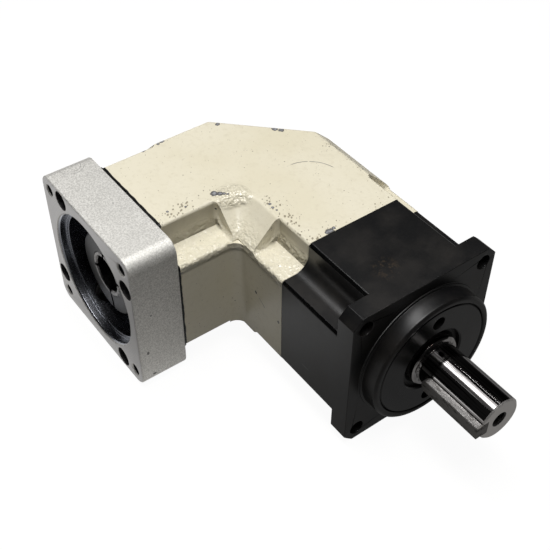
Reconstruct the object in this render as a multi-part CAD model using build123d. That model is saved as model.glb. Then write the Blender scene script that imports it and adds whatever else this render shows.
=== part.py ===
from build123d import *
import math
import os

# Right angle gear reducer, 60 mm frame, all sizes in mm.
# Origin: centre of the output flange face on the output axis. +X leaves with the shaft.
# The motor side opens towards -Y, +Z is up. Both axes lie in the plane Z = 0.

# Frame and casting
SQUARE = 60.0
H = SQUARE / 2
AXES_X = -91.0
JOINT_X = -36.0
FLANGE_T = 7.5
FLANGE_CORNER = 5.0
COVE = 10.75
COVE_R = 5.75
COVE_END_R = 2.2
LIP = 1.0
BEVEL = 10.25
BEVEL_SOFT = 2.0
BLOCK_OUT = 38.5
BLOCK_IN = 31.2
CORNER_R = 4.5
CREASE_R = 5.8
CAST_SOFT = 1.2
CUT = 25.8
LEG_END = 53.5
GASKET_T = 0.4
CAVITY_R = 17.5
CAVITY_BACK = 2.0

# Output interface. Holes and pilot keep their distance from the flange's sides.
HOLE_INSET = 5.25
BOLT_D = 5.5
PILOT_INSET = 5.0
PILOT_D = SQUARE - 2 * PILOT_INSET
PILOT_H = 7.0
SHAFT_D = 16.0
SHAFT_END = 37.0
SHAFT_THREAD_D = 5.0
SHAFT_THREAD_L = 14.0
COLLAR_D = 19.5
COLLAR_END = 8.0
KEY_W = 5.0
KEY_H = 5.0
KEY_L = 25.0
KEY_TOP = 10.0
SEAM_TURN = 37.0

# Output cap, seal and the bore behind them
CAP_WALL = 2.5
CAP_D = PILOT_D - 2 * CAP_WALL
CAP_HOLE_D = 24.4
CAP_LEDGE = 1.5
BORE_D = CAP_D - 2 * CAP_LEDGE
SPANNER_D = 5.0
SPANNER_R = (CAP_D + CAP_HOLE_D) / 4
OUT_SEAL_D = CAP_HOLE_D + 4.4

# Input interface, depths from the mouth of the plate
PLATE_T = 18.2
PLATE_R = 5.0
MOTOR_PILOT_INSET = 5.0
MOTOR_PILOT_D = SQUARE - 2 * MOTOR_PILOT_INSET
MOTOR_PILOT_H = 3.5
MOTOR_HOLE_INSET = 5.25
MOTOR_TAP_D = 4.2
MOTOR_SHAFT_D = 14.0
PLATE_LEDGE = 1.5
PLATE_BORE_D = MOTOR_PILOT_D - 2 * PLATE_LEDGE
PLATE_WEB = 3.1
PLATE_SCREW_INSET = 4.3
PLATE_SCREW_WALL = 3.05
PLATE_SEAT = 11.2
ACCESS_D = 8.5
ACCESS_X = -12.0
CLAMP_D = 32.0
CLAMP_W = 8.0
CLAMP_REST = -83.0
SLEEVE_D = 18.0
INPUT_BEARING_IN = 20.0
INPUT_BEARING_OUT = 37.0
INPUT_BEARING_W = 9.0
INPUT_B1 = 26.0
INPUT_B2 = 40.4
RETAINER_T = 1.3

# Fasteners: shank, head and key sizes
M3 = (3.0, 5.5, 3.0, 2.5)
M4 = (4.0, 7.0, 4.0, 3.0)

# Planet stage. The module fills the bore, and shaft and pockets follow the gears.
SUN_TEETH = 15
PLANET_TEETH = 15
RING_TEETH = 45
PLANETS = 3
RING_WALL = 2.0
MODULE = (BORE_D / 2 - RING_WALL) / (RING_TEETH / 2 + 1.25)
GEAR_W = 10.0
THIN = 0.05
PRESSURE = math.radians(20.0)
RING_TIP_R = MODULE * (RING_TEETH / 2 - 1) + 0.25
CARRIER_R = RING_TIP_R - 0.85
PIN_D = 4.0
NEEDLE_D = 1.5
NEEDLES = 11
FRONT_BEARING_IN = 20.0
FRONT_BEARING_W = 8.0
REAR_BEARING_H = 6.0
REAR_BEARING_IN = BORE_D - 2 * REAR_BEARING_H
REAR_BEARING_W = 7.0
SUN_SHAFT_D = MODULE * SUN_TEETH
SUN_BEARING_WALL = 7.0
SUN_BEARING_OUT = BORE_D - 2 * SUN_BEARING_WALL
SUN_BEARING_W = 8.0
SPIGOT_WALL = 2.5
HOUSING_SCREW_R = BORE_D / 2 - 3.8

# Bevel stage
BEVEL_TEETH = 20
BEVEL_M = 1.5
BEVEL_FACE = 6.5
BEVEL_THIN = 0.08
BEVEL_BACK = 17.4
HUB_WALL = 2.2
PINION_SHANK_D = 12.0

# Axial stations along X
WEB_X = -29.0
WEB_SEAT = 3.2
RING_X0 = WEB_X + REAR_BEARING_W
RING_X1 = -FRONT_BEARING_W
GEAR_X0 = RING_X0 + 1.5
SUN_B1 = AXES_X + 27.0
SUN_B2 = AXES_X + 45.0

OUT = Plane.YZ.location
INP = Plane(origin=(AXES_X, 0, 0), x_dir=(1, 0, 0), z_dir=(0, -1, 0)).location
MOUTH = LEG_END + GASKET_T + PLATE_T


def rod(r, c0, c1, a=0.0, b=0.0):
    body = Cylinder(r, c1 - c0, align=(Align.CENTER, Align.CENTER, Align.MIN))
    return Pos(a, b, c0) * body


def tube(r_out, r_in, c0, c1):
    return rod(r_out, c0, c1) - rod(r_in, c0 - 1, c1 + 1)


def turned(points):
    # Points are (radius, height along the local axis).
    wire = Polyline(*[(r, 0, c) for r, c in points], close=True)
    return revolve(make_face(wire), Axis.Z, 360)


def block(x0, x1, y0, y1, z0, z1):
    body = Box(x1 - x0, y1 - y0, z1 - z0)
    return Pos((x0 + x1) / 2, (y0 + y1) / 2, (z0 + z1) / 2) * body


def square_places(inset):
    a = H - inset
    return [(a, a), (-a, a), (-a, -a), (a, -a)]


def polar(r, start, count):
    step = 360.0 / count
    turns = [math.radians(start + step * i) for i in range(count)]
    return [(r * math.cos(t), r * math.sin(t)) for t in turns]


def group(solids):
    flat = []
    for s in solids:
        flat.extend(s.solids())
    return Compound(children=flat)


def save(shape, name, location=None):
    if location is not None:
        shape = location * shape
    solids = shape.solids()
    if len(solids) == 1:
        shape = solids[0]
    else:
        shape = Compound(children=list(solids))
    shape.label = name
    export_step(shape, "parts/" + name + ".step")
    return shape


def cap_screw(sizes, length):
    # Head underside at height 0, head towards +Z, shank towards -Z.
    d, head_d, head_h, hex_w = sizes
    body = rod(head_d / 2, 0, head_h) + rod(d / 2, -length, 0)
    body = chamfer(body.faces().sort_by(Axis.Z)[-1].edges(), 0.3)
    body = chamfer(body.faces().sort_by(Axis.Z)[0].edges(), 0.4)
    socket = extrude(RegularPolygon(hex_w / 2, 6, major_radius=False), head_h)
    return body - Pos(0, 0, head_h * 0.45) * socket


def corner_cut(lip):
    # What a cove takes away at one corner of the square, with the lips' chamfers.
    k = H - COVE
    far = H + 4
    if lip > 0:
        points = [(k, k), (H - lip, k), (H, k - lip), (far, k - lip), (far, far),
                  (k - lip, far), (k - lip, H), (k, H - lip)]
    else:
        points = [(k, k), (far, k), (far, far), (k, far)]
    face = make_face(Polyline(*points, close=True))
    inner = face.vertices().sort_by_distance(Vector(k, k, 0))[0]
    return fillet(inner, COVE_R)


def coved_section(lip=0.0):
    # Square with a rounded cove at each corner. Its lips are chamfered.
    face = Rectangle(SQUARE, SQUARE)
    for i in range(4):
        face = face - Rot(0, 0, 90 * i) * corner_cut(lip)
    return face


def coved_bar(c0, c1, lip=0.0):
    return Pos(0, 0, c0) * extrude(coved_section(lip), c1 - c0)


def cast_coves(c0, c1):
    # The four coves of a cast leg: soft lips, and a rounded end wall at height c0.
    k = H - COVE
    s = CAST_SOFT
    lip = Rectangle(s, s).face() - Pos(-s / 2, -s / 2) * Circle(s)
    face = corner_cut(0.0)
    face = face + Pos(H - s / 2, k - s / 2) * lip + Pos(H + 2, k) * Rectangle(4, 2 * s)
    face = face + Pos(k - s / 2, H - s / 2) * lip + Pos(k, H + 2) * Rectangle(2 * s, 4)
    cove = Pos(0, 0, c0) * extrude(face, c1 - c0)
    ends = [e for e in cove.edges() if abs(e.center().Z - c0) < 0.01]
    cove = fillet([e for e in ends if max(e.center().X, e.center().Y) < H + 0.1], COVE_END_R)
    return [Rot(0, 0, 90 * i) * cove for i in range(4)]


def crease_fill():
    # Cone in the crease between the inner slopes: nearly sharp below, CREASE_R at the top.
    sections = []
    for rise, r in ((0.0, 0.5), (BEVEL, CREASE_R)):
        x = H - rise
        arc = CenterArc((x + r, -x - r, 0), r, 90, 90)
        sides = Polyline((x, -x - r), (x - 1, -x - r), (x - 1, -x + 1), (x + r, -x + 1), (x + r, -x))
        sections.append(Pos(0, 0, H - BEVEL + rise) * make_face([*sides.edges(), *arc.edges()]))
    return loft(sections, ruled=True)


def elbow_form():
    # Both legs and the bevelled body round the crossing of the axes, in the crossing's frame.
    far = H + LEG_END + JOINT_X - AXES_X
    outline = [(-H, -far), (-H, -H + CUT), (H - CUT, H), (far, H), (far, -H), (H, -H), (H, -far)]
    prism = Pos(0, 0, -H) * extrude(make_face(Polyline(*outline, close=True)), SQUARE)

    def between_ends(edges):
        return [e for e in edges if e.center().Y > -far + 1 and e.center().X < far - 1]

    def on_rim(e):
        return abs(abs(e.center().Z) - H) < 0.01

    prism = chamfer([e for e in between_ends(prism.edges()) if on_rim(e)], BEVEL)
    fill = crease_fill()
    prism = prism + fill + mirror(fill, Plane.XY)
    outside = 2 * H - BEVEL - 1
    soft = [e for e in between_ends(prism.edges())
            if on_rim(e) or e.center().X - e.center().Y < outside]
    prism = fillet(soft, BEVEL_SOFT)
    return prism & block(-H - 1, JOINT_X - AXES_X, -LEG_END, H + 1, -H - 1, H + 1)


def elbow_housing():
    body = Pos(AXES_X, 0, 0) * elbow_form()
    for cove in cast_coves(AXES_X + BLOCK_OUT, JOINT_X + 1):
        body = body - OUT * cove
    for cove in cast_coves(BLOCK_IN, LEG_END + 1):
        body = body - INP * cove
    web = Rectangle(CORNER_R, CORNER_R).face() - Pos(CORNER_R / 2, -CORNER_R / 2) * Circle(CORNER_R)
    web = Pos(AXES_X + H + CORNER_R / 2, -H - CORNER_R / 2, COVE - H) * extrude(web, 2 * (H - COVE))
    body = body + web
    seat = rod(INPUT_BEARING_OUT / 2, INPUT_B1, LEG_END + 1)
    body = body - INP * (seat + rod(CAVITY_R, -CAVITY_BACK, INPUT_B1 + 1))
    tunnel = rod(CAVITY_R, AXES_X - CAVITY_BACK, AXES_X + 24)
    tunnel = tunnel + rod(SUN_BEARING_OUT / 2 - 1.5, AXES_X + 23, SUN_B1 + 1)
    tunnel = tunnel + rod(SUN_BEARING_OUT / 2, SUN_B1, JOINT_X + 1)
    body = body - OUT * tunnel
    for a, b in plate_screw_places():
        body = body - INP * rod(M4[0] / 2 + 0.02, LEG_END - 11, LEG_END + 1, a, b)
    for a, b in polar(HOUSING_SCREW_R, 30, 6):
        body = body - OUT * rod(M3[0] / 2 + 0.02, JOINT_X - 8, JOINT_X + 1, a, b)
    return body


def plate_screw_places():
    # Turned square: each screw stands beside a cove, in the thick of the leg's wall.
    a = H - COVE - PLATE_SCREW_WALL
    b = H - PLATE_SCREW_INSET
    return [(-a, b), (b, a), (a, -b), (-b, -a)]


def planetary_housing():
    body = coved_bar(JOINT_X, -FLANGE_T + 0.5, LIP)
    plate = Pos(0, 0, -FLANGE_T) * extrude(Rectangle(SQUARE, SQUARE), FLANGE_T)
    plate = plate & rod((H - HOLE_INSET) * math.sqrt(2) + FLANGE_CORNER, -FLANGE_T - 1, 1)
    boss = turned([
        (0, -1), (PILOT_D / 2 + 0.8, -1), (PILOT_D / 2 + 0.8, 0.5), (PILOT_D / 2, 0.5),
        (PILOT_D / 2, PILOT_H - 0.8), (PILOT_D / 2 - 0.8, PILOT_H), (0, PILOT_H),
    ])
    spigot = SUN_BEARING_OUT / 2
    body = body + plate + boss + rod(spigot, JOINT_X - 2, JOINT_X + 1)
    hole = spigot - SPIGOT_WALL
    bore = turned([
        (0, JOINT_X - 3), (hole, JOINT_X - 3), (hole, WEB_X), (BORE_D / 2, WEB_X),
        (BORE_D / 2, 0.4), (CAP_D / 2, 0.4), (CAP_D / 2, PILOT_H - 0.5),
        (CAP_D / 2 + 0.5, PILOT_H), (CAP_D / 2 + 0.5, PILOT_H + 1), (0, PILOT_H + 1),
    ])
    body = body - bore
    for a, b in square_places(HOLE_INSET):
        body = body - rod(BOLT_D / 2, -FLANGE_T - 1, 1, a, b)
    for a, b in polar(HOUSING_SCREW_R, 30, 6):
        body = body - rod(M3[0] / 2 + 0.1, JOINT_X - 1, WEB_X + 1, a, b)
        body = body - rod(M3[1] / 2 + 0.25, WEB_X - WEB_SEAT, WEB_X + 1, a, b)
    return body


def housing_screws():
    screw = cap_screw(M3, 10.0)
    places = polar(HOUSING_SCREW_R, 30, 6)
    return group([Pos(a, b, WEB_X - WEB_SEAT) * screw for a, b in places])


def bearing_cap():
    body = turned([
        (OUT_SEAL_D / 2, 0.4), (CAP_D / 2, 0.4), (CAP_D / 2, PILOT_H - 0.8),
        (CAP_D / 2 - 0.6, PILOT_H - 0.2), (CAP_HOLE_D / 2 + 0.5, PILOT_H - 0.2),
        (CAP_HOLE_D / 2, PILOT_H - 0.7), (CAP_HOLE_D / 2, PILOT_H - 2.0),
        (OUT_SEAL_D / 2, PILOT_H - 2.0),
    ])
    for a, b in polar(SPANNER_R, 90, 2):
        body = body - rod(SPANNER_D / 2, 3.5, PILOT_H + 1, a, b)
    return body


def output_seal():
    r = COLLAR_D / 2 + 0.04
    back = OUT_SEAL_D / 2
    top = PILOT_H - 2.0
    return turned([
        (back, 0.6), (back, top), (r + 0.9, top), (r, top - 1.0),
        (r + 0.9, top - 2.0), (back - 2.5, top - 1.4), (back - 1.5, 0.6),
    ])


def bearing(d, out_d, w, balls, c0):
    # Outer ring, inner ring and balls, from height c0 to c0 + w.
    ball_d = (out_d - d) / 4
    pitch = (d + out_d) / 4
    gap = (out_d - d) / 4 * 0.17 + ball_d / 2 * 0.30
    mid = c0 + w / 2
    deep = (ball_d / 2 + 0.03) * math.sqrt(2)
    half_in = deep - gap
    r1 = d / 2
    r2 = out_d / 2
    e = 0.3
    inner = turned([
        (r1 + e, c0), (pitch - gap, c0), (pitch - gap, mid - half_in), (pitch - deep, mid),
        (pitch - gap, mid + half_in), (pitch - gap, c0 + w), (r1 + e, c0 + w),
        (r1, c0 + w - e), (r1, c0 + e),
    ])
    outer = turned([
        (r2 - e, c0), (pitch + gap, c0), (pitch + gap, mid - half_in), (pitch + deep, mid),
        (pitch + gap, mid + half_in), (pitch + gap, c0 + w), (r2 - e, c0 + w),
        (r2, c0 + w - e), (r2, c0 + e),
    ])
    spheres = [Pos(a, b, mid) * Sphere(ball_d / 2) for a, b in polar(pitch, 0, balls)]
    return outer, inner, spheres


def flank_angle(r, base, pitch_r, pitch_half):
    def inv(q):
        return math.tan(q) - q
    at_pitch = math.acos(base / pitch_r)
    here = math.acos(min(1.0, base / r))
    return pitch_half + inv(at_pitch) - inv(here)


def spur_outline(teeth, module, r_in, r_out, pitch_half, steps, root_half=None):
    # One closed outline with a tooth (or a ring's space) centred on angle 0.
    pitch_r = module * teeth / 2
    base = pitch_r * math.cos(PRESSURE)
    low = max(base + 0.001, r_in)
    radii = [low + (r_out - low) * i / steps for i in range(steps + 1)]
    side = [(r, flank_angle(r, base, pitch_r, pitch_half)) for r in radii]
    if r_in < low - 0.01:
        side = [(r_in, side[0][1] + 0.012)] + side
    points = []
    for k in range(teeth):
        mid = 2 * math.pi * k / teeth
        for r, h in side:
            points.append((r * math.cos(mid - h), r * math.sin(mid - h)))
        for r, h in reversed(side):
            points.append((r * math.cos(mid + h), r * math.sin(mid + h)))
    return make_face(Polyline(*points, close=True))


def spur_face(teeth, turn):
    pitch_r = MODULE * teeth / 2
    half = (math.pi * MODULE / 2 - THIN) / (2 * pitch_r)
    face = spur_outline(teeth, MODULE, pitch_r - 1.25 * MODULE, pitch_r + MODULE, half, 4)
    return Rot(0, 0, turn) * face


def ring_gear():
    pitch_r = MODULE * RING_TEETH / 2
    half = (math.pi * MODULE / 2 + THIN) / (2 * pitch_r)
    space = spur_outline(RING_TEETH, MODULE, RING_TIP_R, pitch_r + 1.25 * MODULE, half, 3)
    body = rod(BORE_D / 2, RING_X0, RING_X1)
    return body - Pos(0, 0, RING_X0 - 1) * extrude(Rot(0, 0, 90) * space, RING_X1 - RING_X0 + 2)


def planet_centres():
    return polar(MODULE * (SUN_TEETH + PLANET_TEETH) / 2, 90, PLANETS)


def planet_gear(index):
    a, b = planet_centres()[index]
    face = spur_face(PLANET_TEETH, 90 + 120 * index)
    body = extrude(face, GEAR_W) - rod(PIN_D / 2 + NEEDLE_D + 0.02, -1, GEAR_W + 1)
    return Pos(a, b, GEAR_X0) * body


def needle_rollers(index):
    a, b = planet_centres()[index]
    r = PIN_D / 2 + 0.02 + NEEDLE_D / 2
    needles = [rod(NEEDLE_D / 2 - 0.01, 0.3, GEAR_W - 0.3, p, q) for p, q in polar(r, 0, NEEDLES)]
    return group([Pos(a, b, GEAR_X0) * n for n in needles])


def output_carrier():
    rear = WEB_X + 0.4
    tail = REAR_BEARING_IN / 2
    front = FRONT_BEARING_IN / 2
    cage_end = RING_X1 - 0.8
    body = turned([
        (0, rear), (tail - 0.3, rear), (tail, rear + 0.3), (tail, RING_X0), (CARRIER_R, RING_X0),
        (CARRIER_R, cage_end), (front + 2, cage_end), (front + 2, RING_X1), (front, RING_X1),
        (front, 0.0), (COLLAR_D / 2, 0.1), (COLLAR_D / 2, COLLAR_END - 0.5),
        (COLLAR_D / 2 - 0.5, COLLAR_END), (SHAFT_D / 2 + 0.35, COLLAR_END + 0.05),
        (SHAFT_D / 2, COLLAR_END + 0.6), (SHAFT_D / 2, SHAFT_END - 0.6),
        (SHAFT_D / 2 - 0.6, SHAFT_END), (0, SHAFT_END),
    ])
    body = Rot(0, 0, SEAM_TURN) * body
    hollow = MODULE * (SUN_TEETH / 2 + 1) + 0.8
    pocket = MODULE * (PLANET_TEETH / 2 + 1) + 0.45
    body = body - rod(hollow, rear - 1, GEAR_X0 + GEAR_W + 0.8)
    for a, b in planet_centres():
        body = body - rod(pocket, GEAR_X0 - 0.4, GEAR_X0 + GEAR_W + 0.4, a, b)
        body = body - rod(PIN_D / 2, rear - 1, cage_end - 0.5, a, b)
    body = body - turned([
        (0, SHAFT_END - SHAFT_THREAD_L - 1.2), (SHAFT_THREAD_D / 2, SHAFT_END - SHAFT_THREAD_L),
        (SHAFT_THREAD_D / 2, SHAFT_END - 0.5), (3.0, SHAFT_END), (3.0, SHAFT_END + 1),
        (0, SHAFT_END + 1),
    ])
    return body - key_shape(0.0, 1.0)


def key_shape(out, past):
    # The key points towards -Y, its inner end is round.
    x0 = SHAFT_END - KEY_L
    bar = block(-KEY_TOP - out, -KEY_TOP + KEY_H, -KEY_W / 2, KEY_W / 2, x0 + KEY_W / 2, SHAFT_END + past)
    nose = Pos(-KEY_TOP - out, 0, x0 + KEY_W / 2) * Rot(0, 90, 0) * Cylinder(
        KEY_W / 2, KEY_H + out, align=(Align.CENTER, Align.CENTER, Align.MIN))
    return bar + nose


def shaft_key():
    body = key_shape(0.0, 0.0)
    long_edges = body.edges().filter_by(Axis.Z).sort_by(Axis.X)[:2]
    return chamfer(long_edges, 0.3)


def planet_pins():
    end = RING_X1 - 1.3
    return group([rod(PIN_D / 2, WEB_X + 1.0, end, a, b) for a, b in planet_centres()])


def sun_shaft():
    end = GEAR_X0 + GEAR_W + 0.5
    r = SUN_SHAFT_D / 2
    stop = SUN_B2 + SUN_BEARING_W
    neck = MODULE * (SUN_TEETH / 2 - 1.25) - 0.1
    body = turned([
        (0, AXES_X + 11.4), (r, AXES_X + 11.4), (r, stop), (r + 1.6, stop),
        (r + 1.6, stop + 1.5), (neck, stop + 1.5), (neck, GEAR_X0), (0, GEAR_X0),
    ])
    gear = Pos(0, 0, GEAR_X0 - 0.2) * extrude(spur_face(SUN_TEETH, 90), end - GEAR_X0 + 0.2)
    return body + gear


def bevel_half(theta, base):
    s = math.acos(min(1.0, math.cos(theta) / math.cos(base)))
    return s / math.sin(base) - math.atan(math.tan(s) / math.sin(base))


def bevel_gear(turn, hub_end, bore_r=0.0, hub_r=8.2):
    # Straight bevel gear with its apex at the local origin. The flanks are spherical involutes.
    pitch_r = BEVEL_M * BEVEL_TEETH / 2
    cone = pitch_r * math.sqrt(2)
    pitch = math.radians(45)
    base = math.asin(math.sin(pitch) * math.cos(PRESSURE))
    tip = pitch + math.atan(BEVEL_M / cone)
    root = pitch - math.atan(1.25 * BEVEL_M / cone)
    half = (math.pi * BEVEL_M / 2 - BEVEL_THIN) / (2 * pitch_r)
    steps = 4
    low = base + 0.0005
    thetas = [low + (tip + 0.004 - low) * i / steps for i in range(steps + 1)]
    side = [(t, half + bevel_half(pitch, base) - bevel_half(t, base)) for t in thetas]
    side = [(root, side[0][1] + 0.006)] + side
    rays = []
    for k in range(BEVEL_TEETH):
        mid = 2 * math.pi * k / BEVEL_TEETH + math.radians(turn)
        rays += [(math.tan(t), mid - h) for t, h in side]
        rays += [(math.tan(t), mid + h) for t, h in reversed(side)]
    faces = []
    for c in (9.0, BEVEL_BACK):
        pts = [(c * q * math.cos(g), c * q * math.sin(g), c) for q, g in rays]
        faces.append(make_face(Polyline(*pts, close=True)))
    teeth = loft(faces, ruled=True)
    s = 1 - BEVEL_FACE / cone
    k = math.sqrt(0.5)
    out_tip = (pitch_r + BEVEL_M * k, pitch_r - BEVEL_M * k)
    out_root = (pitch_r - 1.25 * BEVEL_M * k, pitch_r + 1.25 * BEVEL_M * k)
    in_tip = (out_tip[0] * s, out_tip[1] * s)
    in_root = (out_root[0] * s, out_root[1] * s)
    blank = turned([
        (0, in_root[1]), in_root, in_tip, out_tip, out_root, (12.6, BEVEL_BACK),
        (0, BEVEL_BACK),
    ])
    hub = turned([
        (0, BEVEL_BACK), (12.6, BEVEL_BACK), (11.4, BEVEL_BACK + 2), (hub_r, BEVEL_BACK + 2),
        (hub_r, hub_end), (0, hub_end),
    ])
    body = (teeth & blank) + hub
    if bore_r > 0:
        body = body - rod(bore_r, 5, hub_end + 1)
    return body


def bevel_pinion():
    # The shank is pressed into the hollow input shaft.
    gear = bevel_gear(180.0 / BEVEL_TEETH, INPUT_B1 - 4)
    return gear + rod(PINION_SHANK_D / 2, INPUT_B1 - 4, INPUT_B1 + 9)


def input_shaft():
    r = SLEEVE_D / 2
    seat = INPUT_BEARING_IN / 2
    grip = PINION_SHANK_D / 2
    bore = MOTOR_SHAFT_D / 2
    ring = INPUT_B2 + INPUT_BEARING_W
    end = MOUTH - 5.5
    body = turned([
        (grip, INPUT_B1 - 4), (seat + 2, INPUT_B1 - 4), (seat + 2, INPUT_B1), (seat, INPUT_B1),
        (seat, ring), (seat - 0.6, ring), (seat - 0.6, ring + RETAINER_T),
        (seat, ring + RETAINER_T), (seat, end - 9.0), (r, end - 8.6), (r, end - 0.4),
        (r - 0.4, end), (bore + 0.5, end), (bore, end - 0.5), (bore, INPUT_B1 + 9.5),
        (grip, INPUT_B1 + 9.5),
    ])
    for i in range(4):
        slot = block(6.0, r + 1, -0.6, 0.6, end - 10.5, end + 1)
        body = body - Rot(0, 0, CLAMP_REST + 90 * i) * slot
    return body


def clamp_ring():
    end = MOUTH - 5.5
    body = tube(CLAMP_D / 2, SLEEVE_D / 2, end - CLAMP_W - 0.2, end - 0.2)
    rims = [e for e in body.edges() if e.geom_type == GeomType.CIRCLE and e.radius > 10]
    body = chamfer(rims, 0.5)
    mid = end - 0.2 - CLAMP_W / 2
    slit = block(SLEEVE_D / 2 - 2, CLAMP_D / 2 + 1, -0.65, 0.65, mid - 5, mid + 5)
    body = body - slit - clamp_screw_space(mid)
    return Rot(0, 0, CLAMP_REST) * body


def clamp_screw_space(mid):
    # Screw hole across the slit, in the ring's own frame with the slit along +x.
    hole = Pos(12.0, 9.5, mid) * Rot(90, 0, 0) * Cylinder(
        2.03, 19.0, align=(Align.CENTER, Align.CENTER, Align.MIN))
    seat = Pos(12.0, -20.0, mid) * Rot(-90, 0, 0) * Cylinder(
        3.7, 15.5, align=(Align.CENTER, Align.CENTER, Align.MIN))
    return hole + seat


def clamp_screw():
    mid = MOUTH - 5.7 - CLAMP_W / 2
    screw = cap_screw(M4, 12.0)
    return Rot(0, 0, CLAMP_REST) * (Pos(12.0, -4.5, mid) * Rot(90, 0, 0) * screw)


def adapter_plate():
    c0 = LEG_END + GASKET_T
    body = Pos(0, 0, c0) * extrude(Rectangle(SQUARE, SQUARE), PLATE_T)
    body = fillet(body.edges().filter_by(Axis.Z), PLATE_R)
    body = fillet(body.faces().sort_by(Axis.Z)[-1].edges(), 0.6)
    bore = turned([
        (0, c0 - 1), (12.0, c0 - 1), (12.0, c0 + PLATE_WEB), (PLATE_BORE_D / 2, c0 + PLATE_WEB),
        (PLATE_BORE_D / 2, MOUTH - MOTOR_PILOT_H), (MOTOR_PILOT_D / 2, MOUTH - MOTOR_PILOT_H),
        (MOTOR_PILOT_D / 2, MOUTH - 0.8), (MOTOR_PILOT_D / 2 + 0.8, MOUTH),
        (MOTOR_PILOT_D / 2 + 0.8, MOUTH + 1), (0, MOUTH + 1),
    ])
    body = body - bore
    for a, b in square_places(MOTOR_HOLE_INSET):
        body = body - rod(MOTOR_TAP_D / 2, c0 - 1, MOUTH + 1, a, b)
        body = body - Pos(a, b, MOUTH - 0.5) * Cone(MOTOR_TAP_D / 2, MOTOR_TAP_D / 2 + 0.5, 0.51,
                                                    align=(Align.CENTER, Align.CENTER, Align.MIN))
    for a, b in plate_screw_places():
        body = body - rod(M4[0] / 2 + 0.25, c0 - 1, MOUTH, a, b)
        body = body - rod(M4[1] / 2 + 0.2, MOUTH - PLATE_SEAT, MOUTH + 1, a, b)
    access = Pos(ACCESS_X, -H - 1, access_depth()) * Rot(-90, 0, 0) * Cylinder(
        ACCESS_D / 2, 16, align=(Align.CENTER, Align.CENTER, Align.MIN))
    return body - access


def access_depth():
    return MOUTH - 5.7 - CLAMP_W / 2


def access_plug():
    plug = Cylinder(ACCESS_D / 2, 4.5, align=(Align.CENTER, Align.CENTER, Align.MIN))
    plug = chamfer(plug.edges().filter_by(GeomType.CIRCLE), 0.4)
    plug = plug - extrude(RegularPolygon(2.0, 6, major_radius=False), 2.5)
    return Pos(ACCESS_X, -H + 0.3, access_depth()) * Rot(-90, 0, 0) * plug


def adapter_screws():
    screw = cap_screw(M4, 16.0)
    return group([Pos(a, b, MOUTH - PLATE_SEAT) * screw for a, b in plate_screw_places()])


def input_gasket():
    face = Rectangle(SQUARE - 1.6, SQUARE - 1.6).face()
    sheet = coved_section() & face
    sheet = Pos(0, 0, LEG_END) * extrude(sheet, GASKET_T)
    sheet = sheet - rod(INPUT_BEARING_OUT / 2, LEG_END - 1, LEG_END + 2)
    for a, b in plate_screw_places():
        sheet = sheet - rod(M4[0] / 2 + 0.3, LEG_END - 1, LEG_END + 2, a, b)
    return sheet


def input_seal():
    r = INPUT_BEARING_IN / 2 + 0.04
    back = INPUT_BEARING_OUT / 2
    c0 = INPUT_B2 + INPUT_BEARING_W + 0.1
    c1 = LEG_END - 0.1
    return turned([
        (back, c0), (back, c1), (r + 0.9, c1), (r, c1 - 1.0), (r + 0.9, c1 - 2.0),
        (back - 3.5, c1 - 1.6), (back - 2.5, c0),
    ])


def snap_ring(r_in, r_out, c0, c1):
    ring = tube(r_out, r_in, c0, c1)
    return ring - block(r_in - 1, r_out + 1, -1.6, 1.6, c0 - 1, c1 + 1)


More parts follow.
